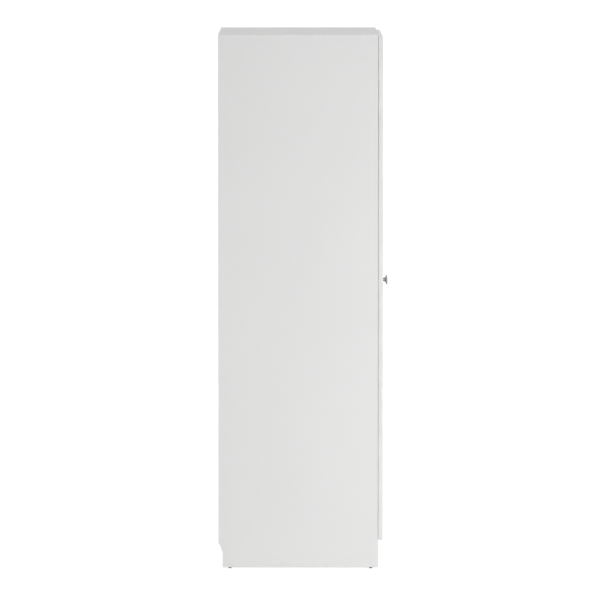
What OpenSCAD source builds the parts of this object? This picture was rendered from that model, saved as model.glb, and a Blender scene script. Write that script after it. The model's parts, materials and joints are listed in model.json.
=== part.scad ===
// Two-door wardrobe of coated boards, with a hat shelf, a clothes rail and concealed cup hinges.
// It stands on the floor at z = 0, faces -Y, and is centred on X and on its whole depth in Y.

/* [Cabinet] */
// Overall width over the two side boards
cabinet_w = 900; // [800:10:1100]
// Overall height from the floor to the top
cabinet_h = 1800; // [1700:10:2100]
// Depth from the back edges to the front edges of the sides
cabinet_d = 538; // [480:1:620]
// Thickness of the side, top, bottom, plinth and shelf boards
board_t = 16; // [15:0.5:19]
// Thickness of the edging on the boards' front edges
board_edging_t = 1; // [0.5:0.1:2]

/* [Base] */
// Height of the underside of the bottom board above the floor
base_h = 94; // [90:1:120]
// How far the plinth board stands behind the front edges of the sides
plinth_setback = 20; // [5:1:60]
// Depth of the cut-out for a skirting board at the back of each side
notch_d = 14.7; // [8:0.1:18]
// Height above the floor at which the cut-out's rounded top starts
notch_z = 42; // [30:1:46]
// Radius of the cut-out's rounded top
notch_r = 75; // [35:1:90]
// Thickness of the glides under the sides
glide_t = 3.7; // [3:0.1:6]
// Diameter of the glides
glide_d = 11; // [9:0.5:14]
// Distance from each glide's centre to the front edge, and to the cut-out at the back
glide_in = 24.5; // [15:0.5:60]
// Diameter of the glides' nails
nail_d = 2; // [1.5:0.1:3]
// Length of the glides' nails
nail_l = 14; // [10:1:20]

/* [Back] */
// Thickness of the two back leaves
back_t = 3; // [2.5:0.1:5]
// Distance from the cabinet's back edges to the rear face of the back leaves
back_in = 12; // [8:1:30]
// Depth of the grooves that hold the back leaves
groove_deep = 6; // [4:0.5:8]
// Width of the strip that joins the two back leaves
strip_w = 22; // [16:1:40]
// Wall thickness of the joining strip
strip_wall = 1; // [0.8:0.1:2]

/* [Doors] */
// Thickness of the doors
door_t = 15; // [15:0.5:18]
// Gap between the cabinet's front edges and the backs of the closed doors
door_gap = 1; // [0.8:0.1:1.5]
// How far the doors' top edges lie below the top of the cabinet
door_top_in = 8; // [3:0.5:12]
// How far the doors' bottom edges lie above the underside of the bottom board
door_bottom_up = 2; // [0:0.5:10]
// How far the doors' outer edges lie inside the outer faces of the sides
door_side_in = 1.5; // [1:0.1:2]
// Gap between the two closed doors
meeting_gap = 3; // [2:0.1:4]
// Thickness of the edging round the doors
door_edging_t = 1; // [0.5:0.1:2]
// Diameter of the soft bumpers behind the doors
bumper_d = 7; // [6:0.5:8]
// Thickness of the bumpers
bumper_t = 0.7; // [0.4:0.1:0.7]
// Distance from each bumper's centre to the middle of the cabinet
bumper_x = 40; // [20:1:100]

/* [Knobs] */
// Height of the knobs' centres above the floor
knob_z = 946; // [850:1:1100]
// Distance from each knob's centre to its door's meeting edge
knob_in = 50; // [30:1:80]
// How far the knobs stand out from the doors
knob_p = 21; // [18:0.5:30]
// Diameter of the knobs' discs
knob_disc_d = 24; // [20:0.5:35]
// Thickness of the knobs' discs
knob_disc_t = 5.5; // [4:0.1:7]
// Diameter of the knobs' necks at the narrowest
knob_neck_d = 6; // [5.6:0.1:9]
// Diameter of the knobs' feet on the doors
knob_foot_d = 8; // [7.5:0.5:16]
// Diameter of the screws that hold the knobs
knob_screw_d = 4; // [3:0.1:4.4]

/* [Inside] */
// Height of the hat shelf's underside above the floor
shelf_z = 1490; // [1380:5:1560]
// How far the hat shelf stands behind the cabinet's front edges
shelf_setback = 30; // [20:1:60]
// Diameter of the studs that carry the hat shelf
stud_d = 5; // [4:0.5:6]
// Distance from the hat shelf's underside to the middle of the clothes rail
rail_drop = 60; // [50:1:90]
// Height of the oval clothes rail
rail_high = 30; // [25:0.5:32]
// Thickness of the oval clothes rail across its flats
rail_wide = 15; // [12:0.5:20]
// Wall thickness of the clothes rail
rail_wall = 1.2; // [1:0.1:2]

/* [Board joints] */
// Diameter of the cam locks
cam_d = 15; // [12:0.5:15]
// Depth of the cam locks' pockets
cam_deep = 12.5; // [11:0.1:13]
// Distance from a board's end to the middle of its cam lock
cam_in = 24; // [20:0.5:34]
// Diameter of the cam bolts
cam_bolt_d = 6.5; // [5:0.1:7]
// Diameter of the cam bolts' screw ends
cam_thread_d = 5; // [4:0.1:6]
// Distance from the boards' front and back edges to the cam locks
cam_edge_in = 70; // [60:1:120]
// Diameter of the wooden dowels
dowel_d = 8; // [6:0.5:8]
// Length of the wooden dowels
dowel_l = 30; // [25:1:35]
// Distance from each cam lock to the dowel beside it
dowel_pitch = 32; // [20:1:64]

/* [Wall fixing] */
// Length of each leg of the wall brackets
bracket_leg = 36; // [30:1:50]
// Width of the wall brackets
bracket_w = 24; // [18:1:40]
// Thickness of the wall brackets
bracket_t = 2; // [1.5:0.1:3]
// Diameter of the hole for the wall screw
wall_hole_d = 6; // [4.5:0.1:8]
// Distance from the sides' inner faces to the middle of each wall bracket
bracket_in = 110; // [60:1:160]

/* [Hinges] */
// Number of hinges on each door
hinge_count = 4; // [3:1:5]
// Distance from the doors' top and bottom edges to the end hinges
hinge_end_in = 100; // [80:1:140]
// Diameter of the hinge cups
cup_d = 35; // [35:0.1:36]
// Depth of the hinge cups
cup_deep = 11.5; // [11.3:0.1:12]
// Distance from a door's outer edge to the middle of its hinge cups
cup_in = 22; // [21.8:0.1:22.4]
// Diameter of the hinge pins
pin_d = 2.4; // [2:0.1:2.6]
// Distance from the cabinet's front edges to the mounting plates' screws
plate_in = 37; // [34:1:45]
// Distance between a mounting plate's two screws
plate_pitch = 32; // [30:1:40]
// Diameter of the mounting plates' screws
plate_screw_d = 5; // [4:0.1:6]
// Diameter of the screws that hold the hinge cups
cup_screw_d = 3.5; // [3:0.1:4]
// Distance between a hinge cup's two screws
cup_screw_pitch = 48; // [46:1:52]

/* [Hidden] */
$fn = 64;

// How far a cut runs past the face that it opens
cut = 1;
// Radial clearance of fitted round pieces
fit = 0.05;
// Clearance at the ends of loose pieces
slack = 0.5;
// Clearance on each face of the back leaves in their grooves and strip
leaf_slack = 0.1;

// Places of the main faces
total_d = cabinet_d + door_gap + door_t + knob_p;
side_x = cabinet_w / 2;
inner_x = side_x - board_t;
back_y = total_d / 2;
front_y = back_y - cabinet_d;
core_y = front_y + board_edging_t;
door_back_y = front_y - door_gap;
door_front_y = door_back_y - door_t;
leaf_y = back_y - back_in - back_t;
top_under_z = cabinet_h - board_t;
bottom_top_z = base_h + board_t;
door_out_x = side_x - door_side_in;
door_in_x = meeting_gap / 2;
door_low_z = base_h + door_bottom_up;
door_high_z = cabinet_h - door_top_in;

// Board joints: cam locks near the front and back, each with a dowel beside it
joint_ys = [front_y + cam_edge_in, back_y - cam_edge_in];
dowel_ys = [front_y + cam_edge_in + dowel_pitch, back_y - cam_edge_in - dowel_pitch];
joint_zs = [base_h + board_t / 2, top_under_z + board_t / 2];
side_bore_deep = 11;
thread_l = 10.5;
dowel_in_side = 10;
dowel_chamfer = 1;
cam_r = cam_d / 2 - fit;
cam_top_room = 0.3;
cam_h = cam_deep - cam_top_room;
bolt_room = 0.3;
bolt_head_l = 2.5;
bolt_neck_l = 5;
bolt_neck_in = 1.2;
plinth_y = front_y + plinth_setback;
plinth_bolt_y = plinth_y + board_t / 2;
plinth_cam_down = 26;
plinth_dowel_down = 58;
plinth_cam_z = base_h - plinth_cam_down;
plinth_dowel_z = base_h - plinth_dowel_down;
recess_w = 1.4;
recess_deep = 1.6;

// Glides
glide_x = side_x - board_t / 2;
glide_ys = [front_y + glide_in, back_y - notch_d - glide_in];
glide_chamfer = 0.8;

// Hat shelf and its studs
shelf_y0 = front_y + shelf_setback;
shelf_y1 = leaf_y - leaf_slack - strip_wall - slack;
stud_in = 40;
stud_ys = [shelf_y0 + stud_in, shelf_y1 - stud_in];
stud_deep = 9;
stud_out = 9;
stud_chamfer = 0.6;

// Clothes rail and its sockets
rail_y = (front_y + leaf_y) / 2;
rail_z = shelf_z - rail_drop;
socket_plate_t = 2.5;
socket_ring_l = 12;
socket_ring_t = 2.2;
socket_room = 0.15;
socket_lug = 15;
socket_screw_out = 9.5;
socket_screw_up = rail_high / 2 + socket_screw_out;
small_screw_d = 3.5;
small_screw_l = 14;
countersink_room = 0.1;

// Wall brackets
bracket_x = inner_x - bracket_in;
wall_hole_z = top_under_z - bracket_leg * 0.6;
leaf_hole_room = 1;
bracket_screw_ins = [bracket_leg * 0.4, bracket_leg * 0.8];
bracket_screw_l = 11;

// Knobs
knob_x = door_in_x + knob_in;
knob_foot_t = 1.2;
knob_neck_up = 7;
knob_flare_l = 1;
knob_flare_up = knob_p - knob_disc_t - knob_flare_l;
knob_flare_r = knob_neck_d * 0.85;
knob_round = 0.8;
knob_foot_rise = 2.2;
knob_foot_flare = 0.6;
knob_dish_in = 3;
knob_thread_l = 8;
knob_head_t = 2.4;
knob_head_r = knob_screw_d;

// Hinge places. Each hinge is drawn in its own frame: X runs inwards from the side board's
// inner face, Y runs forwards from the cabinet's front edges, and Z is the hinge's middle.
hinge_zs = [for (i = [0 : hinge_count - 1])
    door_low_z + hinge_end_in
    + i * (door_high_z - door_low_z - 2 * hinge_end_in) / (hinge_count - 1)];
edge_x = door_side_in - board_t;
cup_x = edge_x + cup_in;
cup_wall = 1;
cup_r = cup_d / 2 - fit;
cup_floor_y = door_gap + cup_deep - cup_wall;
cup_wing_t = 1.2;
cup_wing_z = 13;
cup_wing_half = 8;
cup_wing_shift = 6;
cup_screw_x = cup_x + cup_wing_shift;
cup_screw_l = 9.5;

// Hinge pins: two on the arm, and two in the cup, whose places count from the door's edge
arm_inner_pin = [36, -3.8];
arm_outer_pin = [27.1, -1.7];
cup_inner_pin_in = [12, 2.35];
cup_outer_pin_in = [9.9, 7.5];
cup_inner_pin = [edge_x, door_gap] + cup_inner_pin_in;
cup_outer_pin = [edge_x, door_gap] + cup_outer_pin_in;
pin_r = pin_d / 2;
pin_press = 0.02;
eye_r = 2.3;
link_half = 1.9;
plate_half = 1.5;
sleeve_r = 2.1;

// Layers of the hinge outwards from its middle
inner_link_z = 1.6;
inner_boss_z0 = 1.8;
inner_boss_z1 = 3.8;
pin_gap_z = 4.1;
outer_link_z0 = 4.3;
outer_link_z1 = 6.3;
outer_boss_z0 = 6.5;
outer_boss_z1 = 9;
sleeve_z = 7.9;
cheek_z0 = 8.2;
cheek_z1 = 9.7;

// How the hinge moves: the door turns by door_swing, while the inner and the outer links
// turn back by these shares of it
door_swing = 95;
inner_share = 0.248;
outer_share = 0.137;
function turned(v, a) = [v.x * cos(a) - v.y * sin(a), v.x * sin(a) + v.y * cos(a)];
function outer_pin_at(t) = arm_inner_pin
    + turned(cup_inner_pin - arm_inner_pin, -inner_share * t)
    + turned(cup_outer_pin - cup_inner_pin, t);
outer_l = norm(arm_outer_pin - cup_outer_pin);
outer_way = (arm_outer_pin - cup_outer_pin) / outer_l;
outer_side = [-outer_way.y, outer_way.x];
pin_seen = [for (t = [0 : 5 : door_swing])
    turned(arm_outer_pin - outer_pin_at(t), outer_share * t)];
slot_alongs = [for (p = pin_seen) p * outer_way - outer_l];
slot_asides = [for (p = pin_seen) abs(p * outer_side)];
slot_end_room = 0.1;
slot_side_room = 0.06;
slot_low = min(slot_alongs) - slot_end_room;
slot_high = max(slot_alongs) + slot_end_room;
slot_r = pin_r + max(slot_asides) + slot_side_room;
slot_wall = 0.78;
// The outer links' bends, along and beside the straight line between their pins
outer_bend_in = [8.3, 3.6];
outer_bend_out = [28.2, -1.6];

// Hinge arms and mounting plates
arm_t = 1.5;
arm_nose_x = 40.5;
arm_low_x = 8;
arm_tail_x = 21.5;
arm_nose_y = 0.5;
arm_nose_back_y = -12;
arm_step = 2;
arm_open = 60;
arm_crank_y = -26;
arm_tail_y = -66;
arm_front_x = arm_outer_pin.x - eye_r;
plate_t = 2.5;
plate_half_z = 10;
plate_tail_l = 25;
plate_nose_l = 17;
plate_y0 = -plate_in - plate_tail_l;
plate_y1 = -plate_in + plate_nose_l;
plate_block_in = 1;
plate_block_nose_in = 6;
plate_block_z = 7.9;
plate_wing_r = 6.5;
plate_screw_l = 10.5;
arm_screw_front = 5;
arm_screw_rear = 19;
arm_screw_ys = [-plate_in + arm_screw_front, -plate_in - arm_screw_rear];
arm_screw_r = 2.95;
arm_screw_deep = 8;
arm_head_r = 4;
arm_head_t = 1.2;

// Turns +Z towards +X, towards -X, towards the back, or towards the front
module to_right(p) { translate(p) rotate([0, 90, 0]) children(); }
module to_left(p) { translate(p) rotate([0, -90, 0]) children(); }
module to_back(p) { translate(p) rotate([-90, 0, 0]) children(); }
module to_front(p) { translate(p) rotate([90, 0, 0]) children(); }
module block(low, high) { translate(low) cube(high - low); }
module right_side() { mirror([1, 0, 0]) children(); }
module both_sides() {
    children();
    mirror([1, 0, 0]) children();
}

// A cross recess, cut down from a screw head's top at z = 0
module cross_recess(size) {
    for (a = [0, 90]) rotate(a)
        translate([-size / 2, -recess_w / 2, -recess_deep]) cube([size, recess_w, recess_deep + cut]);
}

// A countersunk screw with its head's top at z = 0 and its point down
module countersunk_screw(d, l) {
    difference() {
        union() {
            translate([0, 0, -d / 2]) cylinder(d1 = d, d2 = 2 * d, h = d / 2);
            translate([0, 0, -l + d / 2]) cylinder(d = d, h = l - d);
            translate([0, 0, -l]) cylinder(d1 = d / 3, d2 = d, h = d / 2);
        }
        cross_recess(1.1 * d);
    }
}
module countersunk_hole(d, l) {
    room = countersink_room;
    translate([0, 0, -d / 2 - room]) cylinder(d1 = d + 2 * room, d2 = 2 * d + 4 * room, h = d / 2 + 2 * room);
    translate([0, 0, -l - slack]) cylinder(d = d + 2 * room, h = l + slack);
}

// A screw with a flat round head on z = 0 and its shank down
module flat_head_screw(shank_r, shank_l, head_r, head_t) {
    difference() {
        union() {
            cylinder(r = head_r, h = head_t);
            translate([0, 0, -shank_l]) cylinder(r = shank_r, h = shank_l + head_t / 2);
        }
        translate([0, 0, head_t]) cross_recess(1.3 * head_r);
    }
}

// Side boards
module side_board() {
    difference() {
        block([-side_x, core_y, glide_t], [-inner_x, back_y, cabinet_h]);
        skirting_cut();
        side_groove();
        side_joint_bores();
        side_fitting_bores();
    }
}
module skirting_cut() {
    block([-side_x - cut, back_y - notch_d, glide_t - cut], [-inner_x + cut, back_y + cut, notch_z]);
    to_right([-side_x - cut, back_y - notch_d + notch_r, notch_z])
        cylinder(r = notch_r, h = board_t + 2 * cut, $fn = 128);
}
module side_groove() {
    block([-inner_x - groove_deep, leaf_y - leaf_slack, bottom_top_z - groove_deep],
        [-inner_x + cut, leaf_y + back_t + leaf_slack, top_under_z + groove_deep]);
}
module side_joint_bores() {
    for (z = joint_zs, y = joint_ys)
        to_left([-inner_x + cut, y, z]) cylinder(d = cam_thread_d, h = side_bore_deep + cut);
    for (z = joint_zs, y = dowel_ys)
        to_left([-inner_x + cut, y, z]) cylinder(d = dowel_d, h = side_bore_deep + cut);
    to_left([-inner_x + cut, plinth_bolt_y, plinth_cam_z])
        cylinder(d = cam_thread_d, h = side_bore_deep + cut);
    to_left([-inner_x + cut, plinth_bolt_y, plinth_dowel_z])
        cylinder(d = dowel_d, h = side_bore_deep + cut);
}
module side_fitting_bores() {
    for (y = stud_ys)
        to_left([-inner_x + cut, y, shelf_z - stud_d / 2 - fit]) cylinder(d = stud_d, h = stud_deep + cut);
    for (z = hinge_zs, s = [-1, 1])
        to_left([-inner_x + cut, front_y + plate_in, z + s * plate_pitch / 2])
            cylinder(d = plate_screw_d, h = side_bore_deep + cut);
    for (s = [-1, 1])
        to_left([-inner_x + cut, rail_y, rail_z + s * socket_screw_up])
            cylinder(d = small_screw_d, h = small_screw_l + cut);
    for (y = glide_ys)
        translate([-glide_x, y, glide_t - cut]) cylinder(d = nail_d, h = nail_l + slack + cut);
}

// Bores in a board's left end for its bolt and dowel, and the cam lock's pocket from below
module end_bores(z) {
    for (y = joint_ys) {
        to_right([-inner_x - cut, y, z]) cylinder(r = cam_bolt_d / 2 + bolt_room, h = cam_in + cut);
        translate([-inner_x + cam_in, y, z - board_t / 2 - cut]) cylinder(d = cam_d, h = cam_deep + cut);
    }
    for (y = dowel_ys)
        to_right([-inner_x - cut, y, z]) cylinder(d = dowel_d, h = dowel_l - dowel_in_side + cut + cut);
}
module top_board() color("whitesmoke") {
    difference() {
        block([-inner_x, core_y, top_under_z], [inner_x, back_y, cabinet_h]);
        block([-inner_x - cut, leaf_y - leaf_slack, top_under_z - cut],
            [inner_x + cut, leaf_y + back_t + leaf_slack, top_under_z + groove_deep]);
        both_sides() {
            end_bores(joint_zs[1]);
            for (d = bracket_screw_ins)
                translate([-bracket_x, leaf_y - d, top_under_z - cut])
                    cylinder(d = small_screw_d, h = bracket_screw_l + cut);
        }
    }
}
module bottom_board() color("whitesmoke") {
    difference() {
        block([-inner_x, core_y, base_h], [inner_x, back_y, bottom_top_z]);
        block([-inner_x - cut, leaf_y - leaf_slack, bottom_top_z - groove_deep],
            [inner_x + cut, leaf_y + back_t + leaf_slack, bottom_top_z + cut]);
        both_sides() end_bores(joint_zs[0]);
    }
}
module plinth_board() color("whitesmoke") {
    difference() {
        block([-inner_x, plinth_y, glide_t], [inner_x, plinth_y + board_t, base_h]);
        both_sides() {
            to_right([-inner_x - cut, plinth_bolt_y, plinth_cam_z])
                cylinder(r = cam_bolt_d / 2 + bolt_room, h = cam_in + cut);
            to_front([-inner_x + cam_in, plinth_y + board_t + cut, plinth_cam_z])
                cylinder(d = cam_d, h = cam_deep + cut);
            to_right([-inner_x - cut, plinth_bolt_y, plinth_dowel_z])
                cylinder(d = dowel_d, h = dowel_l - dowel_in_side + cut + cut);
        }
    }
}

// Back leaves, held in the grooves, and the strip that joins them
module back_leaf() {
    difference() {
        block([-inner_x - groove_deep + slack, leaf_y, bottom_top_z - groove_deep + slack],
            [-strip_wall / 2 - leaf_slack, leaf_y + back_t, top_under_z + groove_deep - slack]);
        to_back([-bracket_x, leaf_y - cut, wall_hole_z])
            cylinder(d = wall_hole_d + 2 * leaf_hole_room, h = back_t + 2 * cut);
    }
}
module back_joining_strip() color("white") {
    deep = back_t + 2 * leaf_slack;
    translate([0, leaf_y - leaf_slack, bottom_top_z]) linear_extrude(top_under_z - bottom_top_z) {
        translate([-strip_wall / 2, -strip_wall / 2]) square([strip_wall, deep + strip_wall]);
        translate([-strip_w / 2, -strip_wall]) square([strip_w, strip_wall]);
        translate([-strip_w / 2, deep]) square([strip_w, strip_wall]);
    }
}

// Edging on the front edges of the boards
module upright_edging() color("white") {
    both_sides() block([-side_x, front_y, glide_t], [-inner_x, core_y, cabinet_h]);
}
module level_edging() color("white") {
    shelf_x = inner_x - slack;
    block([-inner_x, front_y, top_under_z], [inner_x, core_y, cabinet_h]);
    block([-inner_x, front_y, base_h], [inner_x, core_y, bottom_top_z]);
    block([-shelf_x, shelf_y0, shelf_z], [shelf_x, shelf_y0 + board_edging_t, shelf_z + board_t]);
}

// Hat shelf on four studs
module hat_shelf() color("whitesmoke") {
    block([-inner_x + slack, shelf_y0 + board_edging_t, shelf_z],
        [inner_x - slack, shelf_y1, shelf_z + board_t]);
}
module shelf_studs() color("silver") {
    r = stud_d / 2 - fit;
    both_sides() for (y = stud_ys) to_right([-inner_x - stud_deep, y, shelf_z - stud_d / 2 - fit]) {
        cylinder(r = r, h = stud_deep + stud_out - stud_chamfer);
        translate([0, 0, stud_deep + stud_out - stud_chamfer])
            cylinder(r1 = r, r2 = r - stud_chamfer, h = stud_chamfer);
    }
}

// Clothes rail: an oval outline, with its long way up
module oval(wide, high) {
    for (s = [-1, 1]) translate([0, s * (high - wide) / 2]) circle(d = wide);
    translate([-wide / 2, -(high - wide) / 2]) square([wide, high - wide]);
}
module along_rail(x, l) { translate([x, rail_y, rail_z]) rotate([90, 0, 90]) linear_extrude(l) children(); }
module clothes_rail() color("silver") {
    x = inner_x - socket_plate_t - slack;
    along_rail(-x, 2 * x) difference() {
        oval(rail_wide, rail_high);
        oval(rail_wide - 2 * rail_wall, rail_high - 2 * rail_wall);
    }
}
module rail_socket() {
    room = 2 * socket_room;
    ring = 2 * (socket_room + socket_ring_t);
    difference() {
        union() {
            along_rail(-inner_x, socket_plate_t) oval(rail_wide + ring, rail_high + 2 * socket_lug);
            along_rail(-inner_x, socket_plate_t + socket_ring_l) oval(rail_wide + ring, rail_high + ring);
        }
        along_rail(-inner_x + socket_plate_t, socket_ring_l + cut) oval(rail_wide + room, rail_high + room);
        for (s = [-1, 1]) to_right([-inner_x + socket_plate_t, rail_y, rail_z + s * socket_screw_up])
            countersunk_hole(small_screw_d, small_screw_l);
    }
}
module rail_socket_screws() color("gray") {
    both_sides() for (s = [-1, 1])
        to_right([-inner_x + socket_plate_t, rail_y, rail_z + s * socket_screw_up])
            countersunk_screw(small_screw_d, small_screw_l);
}

// Cam lock with its mouth at z = 0, its body up, and its bolt coming from -X
module cam_lock() {
    difference() {
        cylinder(r = cam_r, h = cam_h);
        to_left([cam_bolt_d / 2, 0, board_t / 2]) cylinder(r = cam_bolt_d / 2 + bolt_room / 2, h = cam_d);
        rotate([180, 0, 0]) cross_recess(cam_d * 0.55);
    }
}
module cam_locks() color("silver") {
    both_sides() {
        for (z = joint_zs, y = joint_ys) translate([-inner_x + cam_in, y, z - board_t / 2]) cam_lock();
        to_front([-inner_x + cam_in, plinth_y + board_t, plinth_cam_z]) cam_lock();
    }
}
module cam_bolt() {
    r = cam_bolt_d / 2;
    shank_l = cam_in - bolt_neck_l;
    translate([0, 0, -thread_l]) cylinder(d = cam_thread_d - 2 * fit, h = thread_l);
    cylinder(r = r, h = shank_l);
    translate([0, 0, shank_l]) cylinder(r = r - bolt_neck_in, h = bolt_neck_l);
    translate([0, 0, cam_in - bolt_head_l / 2]) cylinder(r = r - fit, h = bolt_head_l);
}
module cam_bolts() color("gray") {
    both_sides() {
        for (z = joint_zs, y = joint_ys) to_right([-inner_x, y, z]) cam_bolt();
        to_right([-inner_x, plinth_bolt_y, plinth_cam_z]) cam_bolt();
    }
}
module wooden_dowel() {
    r = dowel_d / 2 - fit;
    c = dowel_chamfer;
    translate([0, 0, -dowel_in_side]) cylinder(r1 = r - c, r2 = r, h = c);
    translate([0, 0, c - dowel_in_side]) cylinder(r = r, h = dowel_l - 2 * c);
    translate([0, 0, dowel_l - dowel_in_side - c]) cylinder(r1 = r, r2 = r - c, h = c);
}
module wooden_dowels() color("burlywood") {
    both_sides() {
        for (z = joint_zs, y = dowel_ys) to_right([-inner_x, y, z]) wooden_dowel();
        to_right([-inner_x, plinth_bolt_y, plinth_dowel_z]) wooden_dowel();
    }
}

// Glides with their nails
module glides() color("dimgray") {
    both_sides() for (y = glide_ys) translate([-glide_x, y, 0]) {
        cylinder(r1 = glide_d / 2 - glide_chamfer, r2 = glide_d / 2, h = glide_chamfer);
        translate([0, 0, glide_chamfer]) cylinder(d = glide_d, h = glide_t - glide_chamfer);
        translate([0, 0, glide_t]) cylinder(d = nail_d - 2 * pin_press, h = nail_l - nail_d);
        translate([0, 0, glide_t + nail_l - nail_d])
            cylinder(r1 = nail_d / 2 - pin_press, r2 = nail_d / 8, h = nail_d);
    }
}

// Bumpers on the front edges of the top and bottom boards
module door_bumpers() color("aliceblue") {
    top_z = (top_under_z + door_high_z) / 2;
    bottom_z = (door_low_z + bottom_top_z) / 2;
    both_sides() for (z = [bottom_z, top_z])
        to_front([-bumper_x, front_y, z]) cylinder(d1 = bumper_d, d2 = bumper_d - bumper_t, h = bumper_t);
}

// Wall brackets: an angle under the top board, with a hole for a screw into the wall
module wall_bracket() {
    x0 = -bracket_x - bracket_w / 2;
    x1 = -bracket_x + bracket_w / 2;
    difference() {
        union() {
            block([x0, leaf_y - bracket_leg, top_under_z - bracket_t], [x1, leaf_y, top_under_z]);
            block([x0, leaf_y - bracket_t, top_under_z - bracket_leg], [x1, leaf_y, top_under_z]);
        }
        to_back([-bracket_x, leaf_y - bracket_t - cut, wall_hole_z])
            cylinder(d = wall_hole_d, h = bracket_t + 2 * cut);
        for (d = bracket_screw_ins)
            translate([-bracket_x, leaf_y - d, top_under_z - bracket_t]) rotate([180, 0, 0])
                countersunk_hole(small_screw_d, bracket_screw_l);
    }
}
module wall_bracket_screws() color("gray") {
    both_sides() for (d = bracket_screw_ins)
        translate([-bracket_x, leaf_y - d, top_under_z - bracket_t]) rotate([180, 0, 0])
            countersunk_screw(small_screw_d, bracket_screw_l);
}

// Doors
module door_board() {
    e = door_edging_t;
    difference() {
        block([-door_out_x + e, door_front_y, door_low_z + e],
            [-door_in_x - e, door_back_y, door_high_z - e]);
        at_hinges() {
            translate([cup_x, 0, 0]) to_back([0, door_gap - cut, 0]) cylinder(d = cup_d, h = cup_deep + cut);
            for (s = [-1, 1]) to_front([cup_screw_x, door_gap - cup_wing_t, s * cup_screw_pitch / 2])
                countersunk_hole(cup_screw_d, cup_screw_l);
        }
        to_front([-knob_x, door_back_y + cut, knob_z])
            cylinder(d = knob_screw_d + 2 * fit, h = door_t + 2 * cut);
    }
}
module door_long_edging() {
    e = door_edging_t;
    block([-door_out_x, door_front_y, door_low_z], [-door_out_x + e, door_back_y, door_high_z]);
    block([-door_in_x - e, door_front_y, door_low_z], [-door_in_x, door_back_y, door_high_z]);
}
module door_short_edging() {
    x0 = -door_out_x + door_edging_t;
    x1 = -door_in_x - door_edging_t;
    block([x0, door_front_y, door_low_z], [x1, door_back_y, door_low_z + door_edging_t]);
    block([x0, door_front_y, door_high_z - door_edging_t], [x1, door_back_y, door_high_z]);
}

// A knob: a foot, a narrow neck that flares, and a flat disc with rounded rims
module knob() {
    r = knob_disc_d / 2;
    disc_up = knob_p - knob_disc_t;
    to_front([-knob_x, door_front_y, knob_z]) difference() {
        rotate_extrude($fn = 96) {
            polygon([
                [0, 0], [knob_foot_d / 2, 0], [knob_foot_d / 2, knob_foot_t],
                [knob_neck_d / 2 + knob_foot_flare, knob_foot_t + knob_foot_rise],
                [knob_neck_d / 2, knob_neck_up],
                [knob_flare_r, knob_flare_up], [r - knob_dish_in, disc_up],
                [r - knob_round, disc_up], [r, disc_up + knob_round],
                [r, knob_p - knob_round], [r - knob_round, knob_p], [0, knob_p]
            ]);
            for (z = [disc_up + knob_round, knob_p - knob_round])
                translate([r - knob_round, z]) circle(r = knob_round, $fn = 32);
        }
        translate([0, 0, -cut]) cylinder(d = knob_screw_d, h = knob_thread_l + slack + cut);
    }
}
module knob_screw() {
    to_back([-knob_x, door_back_y, knob_z])
        flat_head_screw(knob_screw_d / 2 - fit, door_t + knob_thread_l, knob_head_r, knob_head_t);
}

// Puts a hinge's frame at each hinge of the left door
module at_hinges() {
    for (z = hinge_zs) translate([-inner_x, front_y, z]) mirror([0, 1, 0]) children();
}
module slab(z0, z1) { translate([0, 0, z0]) linear_extrude(z1 - z0) children(); }
module both_ways() {
    children();
    mirror([0, 0, 1]) children();
}
module bar(p, q, half) {
    translate(p) rotate(atan2(q.y - p.y, q.x - p.x)) translate([0, -half]) square([norm(q - p), 2 * half]);
}
module disc(p, r) { translate(p) circle(r = r, $fn = 48); }

// Mounting plates, screwed to the side board, and the arms that clip over them
module hinge_plate() {
    difference() {
        union() {
            block([0, plate_y0, -plate_half_z], [plate_t, plate_y1, plate_half_z]);
            block([0, plate_y0 + plate_block_in, -plate_block_z],
                [arm_tail_x - arm_t, plate_y1 - plate_block_nose_in, plate_block_z]);
            for (s = [-1, 1])
                to_right([0, -plate_in, s * plate_pitch / 2]) cylinder(r = plate_wing_r, h = plate_t);
            block([0, -plate_in - plate_wing_r, -plate_pitch / 2],
                [plate_t, -plate_in + plate_wing_r, plate_pitch / 2]);
        }
        for (s = [-1, 1]) to_right([plate_t, -plate_in, s * plate_pitch / 2])
            countersunk_hole(plate_screw_d, plate_screw_l);
        for (y = arm_screw_ys) to_left([arm_tail_x, y, 0])
            cylinder(r = arm_screw_r + fit, h = arm_t + arm_screw_deep + slack);
    }
}
module plate_screws() {
    at_hinges() for (s = [-1, 1]) to_right([plate_t, -plate_in, s * plate_pitch / 2])
        countersunk_screw(plate_screw_d - 2 * fit, plate_screw_l + plate_t);
}
module arm_outline(inset) {
    open = inset > 0 ? arm_open : 0;
    polygon([
        [arm_front_x - open, arm_nose_y + inset], [arm_nose_x - inset, arm_nose_y + inset],
        [arm_nose_x - inset, arm_nose_back_y + inset / 2],
        [arm_tail_x - inset, arm_crank_y + inset / 2],
        [arm_tail_x - inset, arm_tail_y - inset], [arm_low_x - open, arm_tail_y - inset],
        [arm_low_x - open, arm_crank_y], [arm_front_x - open, arm_nose_back_y + arm_step]
    ]);
}
module hinge_arm() {
    difference() {
        slab(-cheek_z1, cheek_z1) arm_outline(0);
        slab(-cheek_z0, cheek_z0) arm_outline(arm_t);
        for (p = [arm_inner_pin, arm_outer_pin])
            slab(-cheek_z1 - cut, cheek_z1 + cut) disc(p, pin_r + pin_press);
        for (y = arm_screw_ys)
            to_left([arm_tail_x + cut, y, 0]) cylinder(r = arm_screw_r + fit, h = arm_t + 2 * cut);
    }
}
module arm_screws() {
    at_hinges() for (y = arm_screw_ys) to_right([arm_tail_x, y, 0])
        flat_head_screw(arm_screw_r, arm_t + arm_screw_deep, arm_head_r, arm_head_t);
}
module arm_pins() {
    at_hinges() {
        slab(-cheek_z1, cheek_z1) disc(arm_inner_pin, pin_r);
        both_ways() slab(pin_gap_z, cheek_z1) disc(arm_outer_pin, pin_r);
    }
}

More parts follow.
